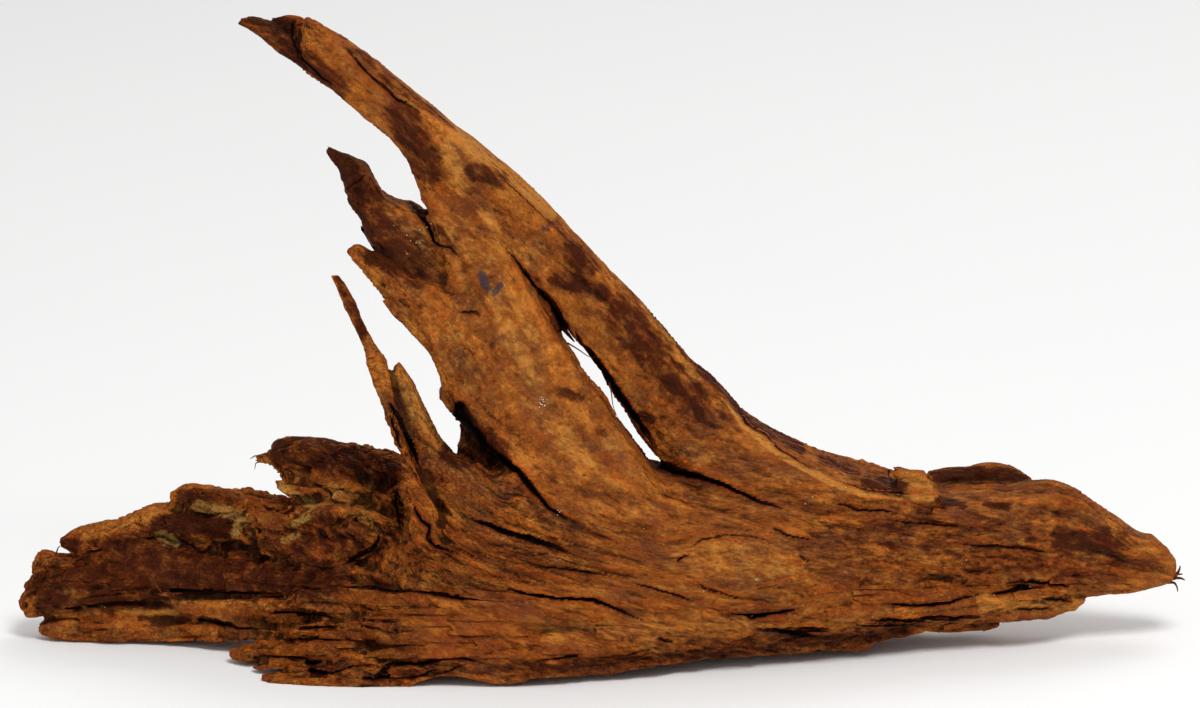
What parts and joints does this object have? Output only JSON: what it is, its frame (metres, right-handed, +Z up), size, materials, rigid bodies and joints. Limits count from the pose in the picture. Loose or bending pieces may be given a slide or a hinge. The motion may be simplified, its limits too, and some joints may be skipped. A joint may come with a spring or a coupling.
{
  "type": "piece of driftwood",
  "caption": "Weathered driftwood root lying on its trunk, with an upright split blade that sweeps up into a horn, broken prongs, a thin spike and layered splinters at one end.",
  "frame": {"origin": "middle of the part's box on the surface that it rests on", "axes": "+X along the trunk to its pointed end, +Y to the back, +Z up"},
  "size_m": [0.5114, 0.106, 0.2879],
  "materials": {
    "weathered_wood": "rough, dry, orange-brown with dark cracks"
  },
  "bodies": {
    "root": {"driftwood": "weathered_wood"}
  },
  "joints": []
}
